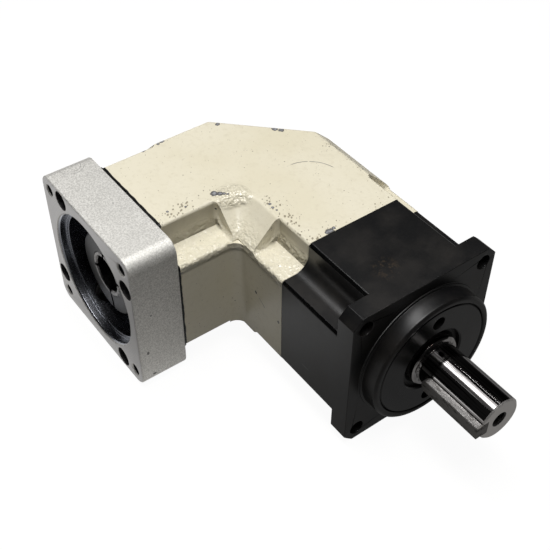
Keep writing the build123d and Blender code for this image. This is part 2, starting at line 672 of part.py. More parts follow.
def main():
    os.makedirs("parts", exist_ok=True)
    save(elbow_housing(), "elbow_housing")
    save(planetary_housing(), "planetary_housing", OUT)
    save(ring_gear(), "ring_gear", OUT)
    save(housing_screws(), "housing_screws", OUT)
    save(bearing_cap(), "output_bearing_cap", OUT)
    save(output_seal(), "output_oil_seal", OUT)
    save(adapter_plate(), "adapter_plate", INP)
    save(adapter_screws(), "adapter_screws", INP)
    save(input_gasket(), "input_gasket", INP)
    save(input_seal(), "input_oil_seal", INP)
    save(access_plug(), "access_plug", INP)

    outer, inner, balls = bearing(FRONT_BEARING_IN, BORE_D, FRONT_BEARING_W, 8, RING_X1)
    save(outer, "output_front_bearing_outer", OUT)
    save(inner, "output_front_bearing_inner", OUT)
    save(group(balls), "output_front_bearing_balls", OUT)
    outer, inner, balls = bearing(REAR_BEARING_IN, BORE_D, REAR_BEARING_W, 12, WEB_X)
    save(outer, "output_rear_bearing_outer", OUT)
    save(inner, "output_rear_bearing_inner", OUT)
    save(group(balls), "output_rear_bearing_balls", OUT)

    d = SUN_SHAFT_D
    w = SUN_BEARING_W
    sets = [bearing(d, SUN_BEARING_OUT, w, 8, c) for c in (SUN_B1, SUN_B2)]
    save(group([s[0] for s in sets]), "sun_bearing_outer_rings", OUT)
    save(group([s[1] for s in sets]), "sun_bearing_inner_rings", OUT)
    save(group(sets[0][2] + sets[1][2]), "sun_bearing_balls", OUT)
    save(tube(d / 2 + 1.6, d / 2, SUN_B1 + w, SUN_B2), "sun_bearing_spacer", OUT)

    d = INPUT_BEARING_IN
    w = INPUT_BEARING_W
    sets = [bearing(d, INPUT_BEARING_OUT, w, 9, c) for c in (INPUT_B1, INPUT_B2)]
    save(group([s[0] for s in sets]), "input_bearing_outer_rings", INP)
    save(group([s[1] for s in sets]), "input_bearing_inner_rings", INP)
    save(group(sets[0][2] + sets[1][2]), "input_bearing_balls", INP)
    save(tube(d / 2 + 1.6, d / 2, INPUT_B1 + w, INPUT_B2), "input_bearing_spacer", INP)
    ring = INPUT_B2 + w
    save(snap_ring(d / 2 - 0.6, d / 2 + 1.4, ring, ring + RETAINER_T), "input_snap_ring", INP)

    save(input_shaft(), "input_shaft", INP)
    save(bevel_pinion(), "bevel_pinion", INP)
    save(clamp_ring(), "clamp_ring", INP)
    save(clamp_screw(), "clamp_screw", INP)

    r = SUN_SHAFT_D / 2
    gear = bevel_gear(180, SUN_B1 - AXES_X, r, r + HUB_WALL)
    save(Pos(0, 0, AXES_X) * gear, "bevel_gear", OUT)
    save(sun_shaft(), "sun_shaft", OUT)

    save(output_carrier(), "output_carrier", OUT)
    save(planet_pins(), "planet_pins", OUT)
    save(shaft_key(), "shaft_key", OUT)
    for i in range(PLANETS):
        save(planet_gear(i), "planet_gear_" + str(i + 1), OUT)
        save(needle_rollers(i), "needle_rollers_" + str(i + 1), OUT)


main()
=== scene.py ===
import math
from functools import reduce
import bpy
from mathutils import Matrix, Vector, noise


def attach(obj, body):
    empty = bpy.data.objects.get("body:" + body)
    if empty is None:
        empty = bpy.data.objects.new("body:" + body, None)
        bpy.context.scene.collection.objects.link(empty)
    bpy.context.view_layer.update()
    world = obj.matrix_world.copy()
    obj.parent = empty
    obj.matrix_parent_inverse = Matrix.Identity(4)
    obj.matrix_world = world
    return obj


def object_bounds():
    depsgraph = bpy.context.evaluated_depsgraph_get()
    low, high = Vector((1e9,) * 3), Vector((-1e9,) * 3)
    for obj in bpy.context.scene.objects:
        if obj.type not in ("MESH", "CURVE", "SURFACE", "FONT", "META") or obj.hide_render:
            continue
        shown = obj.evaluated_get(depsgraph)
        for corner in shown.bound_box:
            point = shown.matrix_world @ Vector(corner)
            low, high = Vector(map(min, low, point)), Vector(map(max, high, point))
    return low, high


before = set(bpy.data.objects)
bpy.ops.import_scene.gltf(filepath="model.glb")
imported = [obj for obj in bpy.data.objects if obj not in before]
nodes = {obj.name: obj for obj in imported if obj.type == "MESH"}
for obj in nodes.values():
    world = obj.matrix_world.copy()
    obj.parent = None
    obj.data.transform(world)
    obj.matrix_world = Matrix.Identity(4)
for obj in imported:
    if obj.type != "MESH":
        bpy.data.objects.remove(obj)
cad_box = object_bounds()

# Elbow casting.
# An aluminium sand casting, filled and sprayed with cream gloss enamel before assembly. The
# paint has an orange-peel skin, dirt in its pores, and chips and scratches along the edges.
MM_PER_M = 1000.0


class Value:
    """A socket of a finish, so that masks and heights are written as sums."""

    def __init__(self, finish, socket):
        self.finish = finish
        self.socket = socket

    def maths(self, operation, *terms):
        return self.finish.node("ShaderNodeMath", {"operation": operation}, dict(enumerate(terms)))

    def __add__(self, other):
        return self.maths("ADD", self, other)

    def __sub__(self, other):
        return self.maths("SUBTRACT", self, other)

    def __rsub__(self, other):
        return self.maths("SUBTRACT", other, self)

    def __mul__(self, other):
        return self.maths("MULTIPLY", self, other)

    def __truediv__(self, other):
        return self.maths("DIVIDE", self, other)

    def __pow__(self, other):
        return self.maths("POWER", self, other)

    def __abs__(self):
        return self.maths("ABSOLUTE", self)

    __radd__ = __add__
    __rmul__ = __mul__

    def least(self, other):
        return self.maths("MINIMUM", self, other)

    def most(self, other):
        return self.maths("MAXIMUM", self, other)

    def rise(self, start, end):
        # 0 below start and 1 above end, or the other way round where start is the larger.
        settings = {"interpolation_type": "SMOOTHSTEP"}
        inputs = {"Value": self, "From Min": start, "From Max": end}
        return self.finish.node("ShaderNodeMapRange", settings, inputs)


class Finish:
    """One procedural material. Places are in millimetres in the part's own frame."""

    def __init__(self, name):
        self.material = bpy.data.materials.new(name)
        self.material.use_nodes = True
        self.tree = self.material.node_tree
        self.tree.nodes.clear()
        place = self.node("ShaderNodeTexCoord", out="Object")
        to_mm = {0: place, "Scale": MM_PER_M}
        self.place = self.node("ShaderNodeVectorMath", {"operation": "SCALE"}, to_mm)
        split = self.node("ShaderNodeSeparateXYZ", inputs={0: self.place})
        self.x, self.y, self.z = [Value(self, s) for s in split.socket.node.outputs]

    def node(self, kind, settings=None, inputs=None, out=None):
        # Sockets go by name, or by number where names repeat. A value that is a socket is linked.
        made = self.tree.nodes.new(kind)
        for key, value in (settings or {}).items():
            setattr(made, key, value)
        for key, value in (inputs or {}).items():
            if isinstance(key, int):
                socket = made.inputs[key]
            else:
                socket = next(s for s in made.inputs if s.name == key and s.enabled)
            if isinstance(value, Value):
                self.tree.links.new(socket, value.socket)
            else:
                socket.default_value = value
        usable = [s for s in made.outputs if s.enabled]
        if not usable:
            return made
        return Value(self, usable[0] if out is None else next(s for s in usable if s.name == out))

    def noise(self, size, detail=2.0, roughness=0.5, place=None):
        # size is a blotch's width in millimetres.
        inputs = {
            "Vector": place or self.place, "Scale": 0.5 / size,
            "Detail": detail, "Roughness": roughness,
        }
        return self.node("ShaderNodeTexNoise", {}, inputs)

    def grains(self, size, place=None):
        # Distance to the nearest grain's middle, 0 to about 1.
        inputs = {"Vector": place or self.place, "Scale": 1.0 / size}
        return self.node("ShaderNodeTexVoronoi", {"feature": "F1"}, inputs)

    def at(self, x=0.0, y=0.0, z=0.0):
        return self.node("ShaderNodeCombineXYZ", {}, {"X": x, "Y": y, "Z": z})

    def far_from(self, centre, stretch=(1, 1, 1)):
        # Distance from a point, with each axis measured in its own unit.
        kind = "ShaderNodeVectorMath"
        moved = self.node(kind, {"operation": "SUBTRACT"}, {0: self.place, 1: centre})
        scaled = self.node(kind, {"operation": "DIVIDE"}, {0: moved, 1: stretch})
        return self.node(kind, {"operation": "LENGTH"}, {0: scaled}, out="Value")

    def blend(self, mask, under, over):
        inputs = {"Factor": mask, "A": under, "B": over}
        return self.node("ShaderNodeMix", {"data_type": "RGBA"}, inputs)

    def surface(self, height, depth_mm, **sockets):
        # A height of 1 stands depth_mm proud.
        inputs = {key.replace("_", " "): value for key, value in sockets.items()}
        bump = {"Height": height, "Distance": depth_mm / MM_PER_M, "Strength": 1.0}
        inputs["Normal"] = self.node("ShaderNodeBump", {}, bump)
        shader = self.node("ShaderNodeBsdfPrincipled", {}, inputs)
        self.node("ShaderNodeOutputMaterial", {}, {"Surface": shader})
        return self.material


def dress(name, material):
    materials = nodes[name].data.materials
    materials.clear()
    materials.append(material)


def soften(name, width_mm):
    # The small edge rounding that no real edge is without.
    obj = nodes[name]
    weld = obj.modifiers.new("joined", "WELD")
    weld.merge_threshold = 1e-6
    bevel = obj.modifiers.new("edges", "BEVEL")
    bevel.width = width_mm / MM_PER_M
    bevel.segments = 2
    bevel.limit_method = "ANGLE"
    bevel.angle_limit = math.radians(32)
    even = obj.modifiers.new("shading", "WEIGHTED_NORMAL")
    even.weight = 80


# In millimetres: where the motor's axis is, half the width of a leg, how deep its edges are
# coved, the radius of a cove's root, where the black flange meets it, how far down the motor's
# leg the plate's joint is, and how deep the paint's skin goes.
MOTOR_AXIS_X = -91.0
LEG_HALF = 30.0
COVE_IN = 10.75
COVE_ROOT_R = 5.75
OUTPUT_JOINT_X = -37.5
MOTOR_JOINT_DOWN = 53.7
PAINT_DEPTH = 0.22

# Each chip's place and radius. They lie in rows along the edges.
CHIPS = (
    ((-74.9, -29.8, 30), 1.25), ((-73.9, -28.3, 30), 1.2), ((-73.1, -27.0, 30), 0.8),
    ((-72.1, -26.2, 30), 0.6), ((-69.7, -23.9, 30), 0.45), ((-68.1, -21.3, 30), 0.45),
    ((-92.4, 8.8, 30), 1.2), ((-90.6, 10.4, 30), 1.1), ((-110.6, -28.6, 29.8), 1.0),
    ((-110.1, -30.6, 30), 0.6), ((-110.0, -37.1, 29.8), 0.9), ((-107.4, -6.4, 30), 0.9),
    ((-72.6, 21.0, 29.6), 1.0), ((-71.0, 21.2, 29.5), 1.2), ((-69.4, 21.2, 29.5), 1.0),
    ((-56.0, 21.4, 29.6), 1.0), ((-49.6, 19.9, 30), 0.9), ((-47.6, 20.0, 30), 1.0),
    ((-45.4, 20.0, 30), 1.1), ((-42.6, 19.7, 30), 1.0), ((-37.0, -10.9, 30), 1.0),
    ((-36.8, -9.1, 30), 1.1), ((-36.9, -10.0, 30), 1.1), ((-37.3, -7.9, 30), 0.7),
    ((-59.3, -17.6, 30), 0.6), ((-57.5, -18.0, 30), 0.55), ((-55.5, -17.6, 30), 0.5),
    ((-76.4, -47.7, 30), 0.5), ((-74.9, -41.3, 30), 0.45), ((-50.6, -30, 2.2), 0.75),
    ((-37.7, -30, -1.8), 0.65), ((-59.5, -30, 4.9), 0.35), ((-70.8, -32.2, 27.0), 0.6),
    ((-72.2, -31.2, 20.5), 0.6), ((-67.0, -31.1, 20.0), 0.45), ((-52.7, -19.8, 26.0), 0.5),
    ((-54.1, -29.1, 20.0), 0.6),
)


def tight_root(across, up):
    # Height in millimetres that shades a cove's round root like a tighter one.
    middle = LEG_HALF - COVE_IN + COVE_ROOT_R
    share = ((middle - abs(across)).most(middle - abs(up)) / COVE_ROOT_R).least(1.0).most(0.7)
    return share.maths("LOGARITHM", share, math.e) * COVE_ROOT_R


def cream_paint():
    f = Finish("cream_paint")
    cream = (0.76, 0.71, 0.565, 1)
    aged = (0.715, 0.66, 0.50, 1)
    colour = f.blend(f.noise(16, 3).rise(0.35, 0.75), cream, aged)
    mottle = f.noise(0.9, 4, 0.6).rise(0.48, 0.78) * 0.5
    colour = f.blend(mottle, colour, (0.63, 0.575, 0.43, 1))

    # Specks of dirt and bare sand crowd along the edges of the top and by the black flange.
    torn = f.noise(0.8, 4, 0.65) - 0.5
    across = f.x - MOTOR_AXIS_X
    down = 0.0 - f.y
    on_top = f.z.rise(28.9, 29.4)
    motor_lip = abs(across - 15.4).rise(5.5, 0.5) * down.rise(24.0, 32.0)
    output_lip = abs(f.y + 16.4).rise(5.0, 0.5) * across.rise(24.0, 29.0)
    outer_lip = abs(f.y - 19.0).rise(4.0, 0.5) * 0.6
    by_flange = abs(f.x - OUTPUT_JOINT_X).rise(5.0, 0.5) * 0.7
    edges = motor_lip.most(output_lip).most(outer_lip).most(by_flange)
    crowd = edges * f.noise(3.5, 2).rise(0.35, 0.6) * on_top + 0.04
    crack = f.grains(1.25, f.at(f.x + f.y * 0.5, f.y, f.z))
    specks = (crack + torn * 0.8 - crowd * 0.32).rise(0.06, -0.02)
    specks = specks.most((f.grains(3.2) + torn * 0.3).rise(0.07, 0.02))
    colour = f.blend(specks * 0.8, colour, (0.235, 0.20, 0.135, 1))

    # Chips go down to the bare casting, and each has a darker rim.
    chip = reduce(Value.least, (f.far_from(centre) / radius for centre, radius in CHIPS))
    chip = chip + torn * 2.2
    chips = chip.rise(1.0, 0.86)
    bare = f.blend(f.noise(0.7, 3).rise(0.4, 0.65), (0.16, 0.163, 0.18, 1), (0.30, 0.305, 0.33, 1))
    bare = f.blend(chip.rise(0.35, 0.8), bare, (0.055, 0.055, 0.062, 1))
    colour = f.blend(chips * 0.95, colour, bare)

    # A curved scratch on the top, and a short one below the nick in the near wall.
    swing = f.far_from((-59.4, -0.6, 30))
    arc = abs(swing - 13.0 + (f.noise(2.5) - 0.5) * 0.7).rise(0.26, 0.06)
    arc = arc * (f.y + 2.6).rise(-1.0, 0.6) * f.x.rise(-61.5, -63.0)
    line = abs(f.z - 2.0 + (f.x + 50.6) * 0.66).rise(0.25, 0.08) * abs(f.x + 48.0).rise(3.0, 2.2)
    line = line * (f.y + 29.5).rise(0.1, -0.1)
    scratch = arc.most(line) * f.noise(1.6, 2).rise(0.32, 0.45)
    colour = f.blend(scratch * 0.8, colour, (0.12, 0.11, 0.10, 1))

    # The steep walls of the two inner coves are painted darker below the lips: painted shade,
    # broken up by noise.
    on_motor_leg = down.rise(31.6, 33.0)
    on_output_leg = f.x.rise(-52.2, -50.8)
    motor_wall = across.rise(21.0, 20.8) * across.rise(15.0, 16.0) * on_motor_leg * 0.55
    output_wall = down.rise(21.0, 20.8) * down.rise(15.0, 16.0) * on_output_leg * 0.2
    painted_wall_shade = motor_wall.most(output_wall) * f.z.rise(29.7, 28.7) * f.z.rise(19.0, 20.0)
    colour = f.blend(painted_wall_shade * (f.noise(2.0, 3) * 0.4 + 0.8), colour, (0.33, 0.30, 0.215, 1))

    # Black sealant is smeared a little way up the paint at the plate's joint, furthest on top.
    reach = on_top * 0.28 + (f.noise(2.2, 3) - 0.5) * 0.9 + 0.55
    smear = (down - MOTOR_JOINT_DOWN + reach).rise(-0.06, 0.06)
    colour = f.blend(smear, colour, (0.005, 0.005, 0.005, 1))

    # The skin is smooth on the flats. It runs and wrinkles at the inner corner and on the floors
    # of the two coves that meet there.
    fold = f.far_from((-70.2, -25.4, 29.4), (6.8, 6.8, 2.6)).rise(1.2, 0.7)
    corner = f.far_from((-66.5, -31.0, 20.5), (5.0, 5.0, 4.0)).rise(1.2, 0.6)
    inner_coves = f.x.rise(-77.0, -75.0) * down.rise(17.0, 19.0)
    floors = f.z.rise(26.0, 21.0) * f.z.rise(15.5, 17.5) * inner_coves
    runs = fold.most(corner).most(floors)
    wrinkle = abs(f.noise(1.5, 2, 0.55) - 0.5) * 6.5 + f.noise(1.0, 2, 0.5) * 2.2
    wrinkle = wrinkle * (fold * 0.5 + 1.0)
    peel = f.noise(1.5, 2, 0.5) * 0.42 + f.noise(0.45, 2, 0.6) * 0.16
    height = peel + wrinkle * runs - chips * 0.7 - specks * 0.25 - scratch * 0.3
    roots = tight_root(across, f.z) * on_motor_leg + tight_root(f.y, f.z) * on_output_leg
    height = height + roots / PAINT_DEPTH
    rough = (0.27 + f.noise(3, 3) * 0.14 - runs * 0.23 + chips * 0.3).most(0.07)
    return f.surface(height, PAINT_DEPTH, Base_Color=colour, Roughness=rough)


dress("elbow_housing", cream_paint())
soften("elbow_housing", 0.45)

# Planetary housing.
# A steel bar section, turned and milled, then blackened in hot oxide and oiled. It has a satin
# sheen with faint brown clouds, and the milled faces keep fine tool lines.

# A stretch that drops an axis out of a distance. Then, in millimetres, the flange's back face and
# how far out and how far in the chamfers along the coves start.
LEFT_OUT = 1e6
FLANGE_BACK_X = -7.5
LIP_OUT = 28.9
LIP_IN = 18.1


def black_oxide(name, dark=1.0, turned=False, shine=0.31, gloss=0.42):
    f = Finish(name)
    clouds = f.noise(7, 4, 0.6).rise(0.35, 0.75)
    low = (0.0040 * dark, 0.0040 * dark, 0.0043 * dark, 1)
    high = (0.0125 * dark, 0.0110 * dark, 0.0098 * dark, 1)
    colour = f.blend(clouds, low, high)
    grain = f.noise(0.5, 4, 0.7).rise(0.5, 0.8) * 0.4
    colour = f.blend(grain, colour, (0.022 * dark, 0.020 * dark, 0.0185 * dark, 1))

    # A rubbed brown patch on top, a nick in the near wall, and painted shade along the coves' lips.
    patch = f.far_from((-13.2, -6.6, 30), (5.0, 5.0, 1.0)).rise(1.3, 0.2)
    patch = patch * f.noise(0.7, 4, 0.7).rise(0.5, 0.62)
    colour = f.blend(patch * 0.38, colour, (0.09, 0.062, 0.036, 1))
    nick = (f.far_from((-22.3, -30, -10.8), (2.2, 1, 0.5)) + f.noise(0.8, 3) - 0.5).rise(1.0, 0.8)
    colour = f.blend(nick * 0.7, colour, (0.05, 0.05, 0.05, 1))
    # Painted shade: the chamfers along the coves' lips are darkened to near black, and they are a
    # little smoother.
    behind = f.x.rise(FLANGE_BACK_X + 0.1, FLANGE_BACK_X - 0.1)
    wide = abs(f.y).most(abs(f.z)).rise(LIP_OUT, LIP_OUT + 0.2)
    narrow = abs(f.y).least(abs(f.z)).rise(LIP_IN, LIP_IN + 0.2)
    lips = wide * narrow * behind
    colour = f.blend(lips, colour, (0.0012, 0.0012, 0.0012, 1))

    if turned:
        off_axis = f.far_from((0, 0, 0), (LEFT_OUT, 1, 1))
        lines = f.noise(0.4, 2, 0.5, f.at(off_axis * 5.0, f.x * 5.0, 0.0))
    else:
        lines = f.noise(0.5, 2, 0.5, f.at(f.x * 6.0, f.y * 0.25, f.z * 0.25))
    rough = shine + clouds * 0.06 + lines * 0.08 - lips * 0.12
    height = lines * 0.6 + f.noise(0.4, 2) * 0.4 - nick
    return f.surface(
        height, 0.004, Base_Color=colour, Roughness=rough, Specular_IOR_Level=gloss,
    )


dress("planetary_housing", black_oxide("black_oxide"))
soften("planetary_housing", 0.25)

# Bearing cap.
# A turned ring screwed into the boss with a pin spanner, blackened like the housing. Its face
# keeps the lathe's rings and is oily, so it is the darkest of the black parts.
dress("output_bearing_cap", black_oxide("black_turned", dark=0.35, turned=True, shine=0.24))
soften("output_bearing_cap", 0.2)

# Oil seals.
# Moulded nitrile lips in a rubber-covered case, pressed in from outside. Dull black, with a light
# film of oil in patches.


def seal_rubber():
    f = Finish("seal_rubber")
    colour = f.blend(f.noise(2, 3), (0.012, 0.012, 0.012, 1), (0.03, 0.029, 0.028, 1))
    return f.surface(f.noise(0.3, 2), 0.02, Base_Color=colour, Roughness=0.45 + f.noise(3) * 0.25)


rubber = seal_rubber()
for name in ("output_oil_seal", "input_oil_seal"):
    dress(name, rubber)

# Output shaft with its planet carrier.
# One forging of alloy steel, turned and ground. The shaft is polished until it mirrors the room
# in dark and light streaks, and the collar under the seal is ground round and round.

# In millimetres: where the faced end starts, the radii of the shaft and of its centre hole, and
# where the keyway starts, how far off the axis its floor is, and half its width.
FACED_END_X = 36.35
SHAFT_R = 8.0
CENTRE_HOLE_R = 2.8
KEYWAY_X = 9.0
KEYWAY_DOWN = 5.0
KEYWAY_HALF = 2.6


def polished_shaft():
    f = Finish("polished_steel")
    along = f.noise(1.5, 4, 0.6, f.at(f.x * 0.5, f.y * 1.3, f.z * 1.3))
    round_lines = f.noise(0.25, 2, 0.5, f.at(f.x * 6.0, 0.0, 0.0))
    colour = f.blend(along.rise(0.3, 0.8), (0.47, 0.455, 0.45, 1), (0.33, 0.315, 0.305, 1))
    stain = f.noise(2.2, 5, 0.7).rise(0.56, 0.78) * 0.5
    colour = f.blend(stain, colour, (0.13, 0.105, 0.085, 1))

    # The faced end is matt and paler.
    end = f.x.rise(FACED_END_X, FACED_END_X + 0.15)
    off_axis = f.far_from((0, 0, 0), (LEFT_OUT, 1, 1))
    rings = f.noise(0.4, 3, 0.5, f.at(off_axis * 4.0, 0, 0))
    faced = f.blend(rings, (0.74, 0.715, 0.69, 1), (0.90, 0.875, 0.85, 1))
    colour = f.blend(end, colour, faced)

    # The centre hole and the keyway are dark with oil, and dark streaks along the polish are
    # painted reflections.
    inside = off_axis.rise(CENTRE_HOLE_R + 0.3, CENTRE_HOLE_R) * f.x.rise(20.0, 21.0)
    colour = f.blend(inside, colour, (0.012, 0.011, 0.010, 1))
    # Painted reflection: dark bands along the shaft stand for the dim room mirrored in the polish.
    streaks = f.noise(0.4, 3, 0.6, f.at(f.x * 0.01, f.y, f.z)).rise(0.47, 0.56)
    streaks = streaks * (1.0 - end) * off_axis.rise(SHAFT_R + 0.5, SHAFT_R + 0.2) * 0.92
    colour = f.blend(streaks, colour, (0.045, 0.043, 0.043, 1))
    seat = f.y.rise(-KEYWAY_DOWN, -KEYWAY_DOWN - 0.2) * f.x.rise(KEYWAY_X, KEYWAY_X + 0.5)
    seat = seat * abs(f.z).rise(KEYWAY_HALF + 0.15, KEYWAY_HALF)
    colour = f.blend(seat, colour, (0.02, 0.018, 0.016, 1))

    rough = 0.05 + round_lines * 0.04 + along.rise(0.55, 0.8) * 0.10 + stain * 0.25 + end * 0.42
    height = f.noise(0.45, 2, 0.5, f.at(f.x * 0.02, f.y, f.z)) * (1.0 - end) + round_lines * 0.05
    metal = 1.0 - inside
    return f.surface(height, 0.016, Base_Color=colour, Roughness=rough, Metallic=metal)


dress("output_carrier", polished_shaft())
soften("output_carrier", 0.12)

# Parallel key.
# Drawn key steel, milled round at one end and driven into the shaft. It is left as drawn, so it
# is greyer and coarser than the shaft, and its sides are dirty.


def drawn_steel():
    f = Finish("key_steel")
    drawn = f.noise(0.5, 4, 0.6, f.at(f.x * 0.15, f.y * 3.0, f.z * 3.0))
    colour = f.blend(drawn, (0.34, 0.33, 0.32, 1), (0.60, 0.58, 0.565, 1))
    dirt = f.noise(0.9, 4, 0.7, f.at(f.x * 0.5, f.y, f.z)).rise(0.5, 0.64)
    colour = f.blend(dirt * 0.8, colour, (0.06, 0.055, 0.05, 1))
    sides = f.z.rise(2.35, 2.2).most(f.x.rise(36.1, 36.3))
    colour = f.blend(sides * 0.75, colour, (0.085, 0.08, 0.073, 1))
    rough = 0.34 + dirt * 0.2 + sides * 0.1
    return f.surface(drawn + dirt * 0.5, 0.012, Base_Color=colour, Roughness=rough, Metallic=0.9)


dress("shaft_key", drawn_steel())
soften("shaft_key", 0.15)

# Adapter plate.
# Aluminium plate, milled, bored for the motor's pilot and blasted with fine grit. The motor side
# is faced off afterwards, so it shows turned rings round the recess.

# In millimetres: how far down the motor's leg the plate's back and face are, the bore's radius,
# and the tapped holes' distance from the motor's axis, across and up. Then the screws' places
# across and up, and each nick's place and half size.
PLATE_BACK = 54.0
PLATE_FACE = 72.0
BORE_R = 25.3
TAP_OUT = 24.75
PLATE_SCREWS = ((-107.2, 25.7), (-65.3, 16.2), (-74.8, -25.7), (-116.7, -16.2))
PLATE_NICKS = (
    ((-61, -68.8, -13.2), (0.5, 0.5, 1.0)), ((-61, -67.1, -25.2), (0.5, 0.8, 0.5)),
    ((-61, -66.0, 4.0), (0.4, 0.35, 0.35)), ((-91, -60, 30), (0.3, 0.25, 0.4)),
)


def blasted_aluminium():
    f = Finish("blasted_aluminium")
    grit = f.noise(0.26, 3, 0.7)
    facets = f.grains(0.4)
    colour = f.blend(grit.rise(0.34, 0.66), (0.56, 0.545, 0.51, 1), (0.84, 0.825, 0.785, 1))
    colour = f.blend(f.noise(10, 3).rise(0.4, 0.8) * 0.25, colour, (0.56, 0.55, 0.52, 1))

    # The face round the recess is turned, and the bore is turned and darker.
    off_axis = f.far_from((MOTOR_AXIS_X, 0, 0), (1, LEFT_OUT, 1))
    down = 0.0 - f.y
    face = down.rise(PLATE_FACE, PLATE_FACE + 0.08)
    bored = off_axis.rise(BORE_R + 0.3, BORE_R) * down.rise(PLATE_BACK, PLATE_BACK + 0.2)
    rings = f.noise(0.35, 3, 0.6, f.at(off_axis * 3.0, f.y * 3.0, 0.0))
    ridges = rings.rise(0.3, 0.75)
    faced = f.blend(ridges, (0.46, 0.45, 0.44, 1), (0.62, 0.61, 0.60, 1))
    colour = f.blend(face, colour, faced)
    shaded = f.blend(ridges, (0.24, 0.25, 0.28, 1), (0.42, 0.43, 0.46, 1))
    colour = f.blend(bored, colour, shaded)

    # The counterbores and the tapped holes are dark with oil and rubbed-off black.
    counterbores = reduce(Value.most, (
        f.far_from((x, 0, z), (3.7, LEFT_OUT, 3.7)).rise(1.04, 1.0) for x, z in PLATE_SCREWS
    ))
    squared = (abs(f.x - MOTOR_AXIS_X) - TAP_OUT) ** 2.0 + (abs(f.z) - TAP_OUT) ** 2.0
    taps = squared.rise(4.7, 4.5)
    holes = counterbores.most(taps) * down.rise(PLATE_FACE, PLATE_FACE - 0.1)
    colour = f.blend(holes, colour, (0.07, 0.068, 0.07, 1))

    # Nicks in the walls and the top edge, and two curved hairlines on top.
    nicks = reduce(Value.most, (
        (f.far_from(centre, size) + f.noise(0.7, 3) - 0.5).rise(1.0, 0.8)
        for centre, size in PLATE_NICKS
    ))
    colour = f.blend(nicks * 0.8, colour, (0.10, 0.10, 0.10, 1))
    swing = f.far_from((-117.2, -62.0, 30))
    arcs = abs(swing - 3.4).rise(0.22, 0.08).most(abs(swing - 4.6).rise(0.22, 0.08))
    arcs = arcs * f.x.rise(-117.5, -116.0) * f.z.rise(29.0, 29.8)
    hair = arcs * f.noise(2.0, 2).rise(0.40, 0.5)
    colour = f.blend(hair * 0.5, colour, (0.25, 0.24, 0.23, 1))

    rough = 0.56 - face * 0.18 - bored * 0.36 + grit * 0.12
    height = (grit + facets * 0.5) * (1.0 - face.most(bored)) + rings * face * 0.25
    height = height + rings * bored * 0.5 - nicks
    return f.surface(height, 0.04, Base_Color=colour, Roughness=rough, Metallic=0.7 + bored * 0.3)


dress("adapter_plate", blasted_aluminium())
soften("adapter_plate", 0.2)

# Gasket.
# A sheet of pressed fibre, stamped to the casting's outline. Only its dark edge shows in the joint.


def pressed_fibre():
    f = Finish("gasket_fibre")
    colour = f.blend(f.noise(0.5, 3), (0.006, 0.006, 0.006, 1), (0.02, 0.018, 0.016, 1))
    return f.surface(f.noise(0.3, 3), 0.03, Base_Color=colour, Roughness=0.7)


dress("input_gasket", pressed_fibre())

# Sealant.
# A thin bead of black sealant that the four screws squeeze out of the joint, all the way round. It
# is thicker in some places than in others.

# In millimetres: the bead's radius, how far out its middle runs, how far it wanders from the
# joint, and the steps along it in which it does.
BEAD_R = 0.42
BEAD_OUT = 29.52
BEAD_WANDER = 0.3
BEAD_STEP = 0.9


def coved_outline():
    # The leg's outline, from the middle of one side round to where it started, in millimetres.
    corner = LEG_HALF - COVE_IN
    root = corner + COVE_ROOT_R
    quarter = [(corner, BEAD_OUT)]
    for step in range(7):
        turn = math.radians(180 + 15 * step)
        quarter.append((root + COVE_ROOT_R * math.cos(turn), root + COVE_ROOT_R * math.sin(turn)))
    quarter.append((BEAD_OUT, corner))
    points = []
    for turns in range(4):
        for a, b in quarter:
            for _ in range(turns):
                a, b = b, -a
            points.append((a, b))
    return points


def squeezed_bead():
    corners = coved_outline()
    path = []
    for i, (a, b) in enumerate(corners):
        c, d = corners[(i + 1) % len(corners)]
        steps = max(1, round(math.hypot(c - a, d - b) / BEAD_STEP))
        path += [(a + (c - a) * k / steps, b + (d - b) * k / steps) for k in range(steps)]
    curve = bpy.data.curves.new("joint_sealant", "CURVE")
    curve.dimensions = "3D"
    curve.bevel_depth = BEAD_R / MM_PER_M
    curve.bevel_resolution = 3
    line = curve.splines.new("POLY")
    line.points.add(len(path) - 1)
    line.use_cyclic_u = True
    for point, (across, up) in zip(line.points, path):
        wave = noise.noise(Vector((across * 0.35, up * 0.35, 3.0)))
        place = (MOTOR_AXIS_X + across, wave * BEAD_WANDER - MOTOR_JOINT_DOWN, up)
        point.co = [value / MM_PER_M for value in place] + [1.0]
        point.radius = min(1.1, 0.9 + 0.5 * wave)
    bead = bpy.data.objects.new("joint_sealant", curve)
    bpy.context.scene.collection.objects.link(bead)
    return bead


def black_sealant():
    f = Finish("black_sealant")
    colour = f.blend(f.noise(0.8, 3), (0.003, 0.003, 0.003, 1), (0.009, 0.009, 0.009, 1))
    return f.surface(
        f.noise(0.5, 2), 0.03, Base_Color=colour, Roughness=0.42, Specular_IOR_Level=0.3,
    )


bead = squeezed_bead()
bead.data.materials.append(black_sealant())
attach(bead, "housing")

# Screws and plug.
# Socket screws of blackened alloy steel, rubbed bright on the rims of their heads. The plug in the
# underside covers the way to the clamp screw.


def screw_black():
    f = Finish("screw_black")
    worn = f.noise(0.6, 4, 0.7).rise(0.5, 0.75)
    colour = f.blend(worn * 0.6, (0.015, 0.015, 0.016, 1), (0.10, 0.095, 0.09, 1))
    rough = 0.32 + worn * 0.15
    return f.surface(f.noise(0.3, 2), 0.01, Base_Color=colour, Roughness=rough, Metallic=0.4)


black_screws = screw_black()
for name in ("adapter_screws", "housing_screws", "clamp_screw", "access_plug"):
    dress(name, black_screws)

# Clamp ring.
# A slit steel ring, blackened, that one screw squeezes on to the slotted mouth of the input
# shaft. Deep in the bore it catches less light than the black housing.
dress("clamp_ring", black_oxide("black_clamp_ring", shine=0.26, gloss=0.16))
soften("clamp_ring", 0.15)
